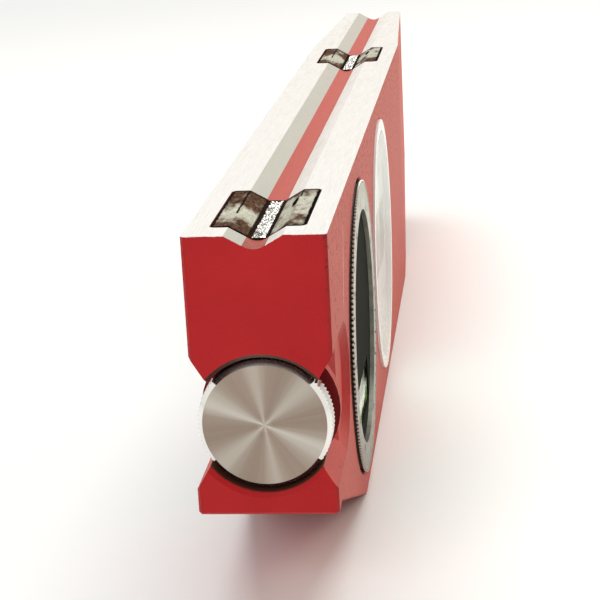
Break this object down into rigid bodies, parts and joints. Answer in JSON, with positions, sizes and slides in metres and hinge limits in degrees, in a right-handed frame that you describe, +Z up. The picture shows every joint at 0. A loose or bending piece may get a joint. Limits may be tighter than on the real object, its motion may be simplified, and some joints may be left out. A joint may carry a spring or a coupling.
{
  "type": "pocket spirit level",
  "caption": "Torpedo spirit level with a V-grooved magnetic face, a protractor dial that turns, a fixed level vial and a knurled thumb screw in its end.",
  "frame": {"origin": "centre of the lower edge, on the surface the level stands on", "axes": "+Y along the level from the thumb-screw end to the tapered nose, +X across its thickness, +Z up to the grooved working face"},
  "size_m": [0.0212, 0.25, 0.057],
  "materials": {
    "anodised_red": "satin red anodising, working face ground bare",
    "pole_steel": "ground and tarnished brown",
    "magnet_silver": "rough bright plating",
    "pocket_resin": "dark cast resin",
    "knob_steel": "turned face, polished chamfer, knurled rim",
    "plain_steel": "turned",
    "bush_brass": "turned",
    "pad_nylon": "natural",
    "dial_silver": "clear anodised, engraved and filled marks",
    "hub_black": "black moulded",
    "vial_acrylic": "polished block",
    "vial_liquid": "yellow-green spirit",
    "vial_bubble": "gas bubble",
    "housing_white": "moulded",
    "lens_clear": "polished"
  },
  "bodies": {
    "frame": {"body": "anodised_red", "near_pole_left": "pole_steel", "near_pole_right": "pole_steel", "near_magnet": "magnet_silver", "near_resin": "pocket_resin", "far_pole_left": "pole_steel", "far_pole_right": "pole_steel", "far_magnet": "magnet_silver", "far_resin": "pocket_resin", "stud_bush": "bush_brass", "level_housing_right": "housing_white", "level_housing_left": "housing_white", "level_screws": "plain_steel", "level_lens_right": "lens_clear", "level_lens_left": "lens_clear", "level_vial": "vial_acrylic", "level_liquid": "vial_liquid", "level_bubble": "vial_bubble", "level_plug": "housing_white"},
    "dial": {"dial_ring_right": "dial_silver", "dial_ring_left": "dial_silver", "dial_hub": "hub_black", "dial_vial": "vial_acrylic", "dial_liquid": "vial_liquid", "dial_bubble": "vial_bubble", "dial_plug": "housing_white"},
    "brake": {"brake_plunger": "plain_steel", "brake_pad": "pad_nylon"},
    "knob": {"thumb_knob": "knob_steel", "knob_stud": "plain_steel"}
  },
  "joints": [
    {"name": "dial_turn", "type": "hinge", "parent": "frame", "child": "dial", "pos_m": [0, -0.0743, 0.0285], "axis": [1, 0, 0], "continuous": true},
    {"name": "brake_slide", "type": "slide", "parent": "frame", "child": "brake", "axis": [0, -1, 0], "range_m": [0, 0.0019]},
    {"name": "knob_turn", "type": "hinge", "parent": "brake", "child": "knob", "pos_m": [0, -0.1243, 0.0296], "axis": [0, -1, 0], "range_deg": [0, 720]}
  ],
  "couplings": [
    {"joint": "brake_slide", "follows": "knob_turn", "m_per_rad": 0.00012732}
  ]
}
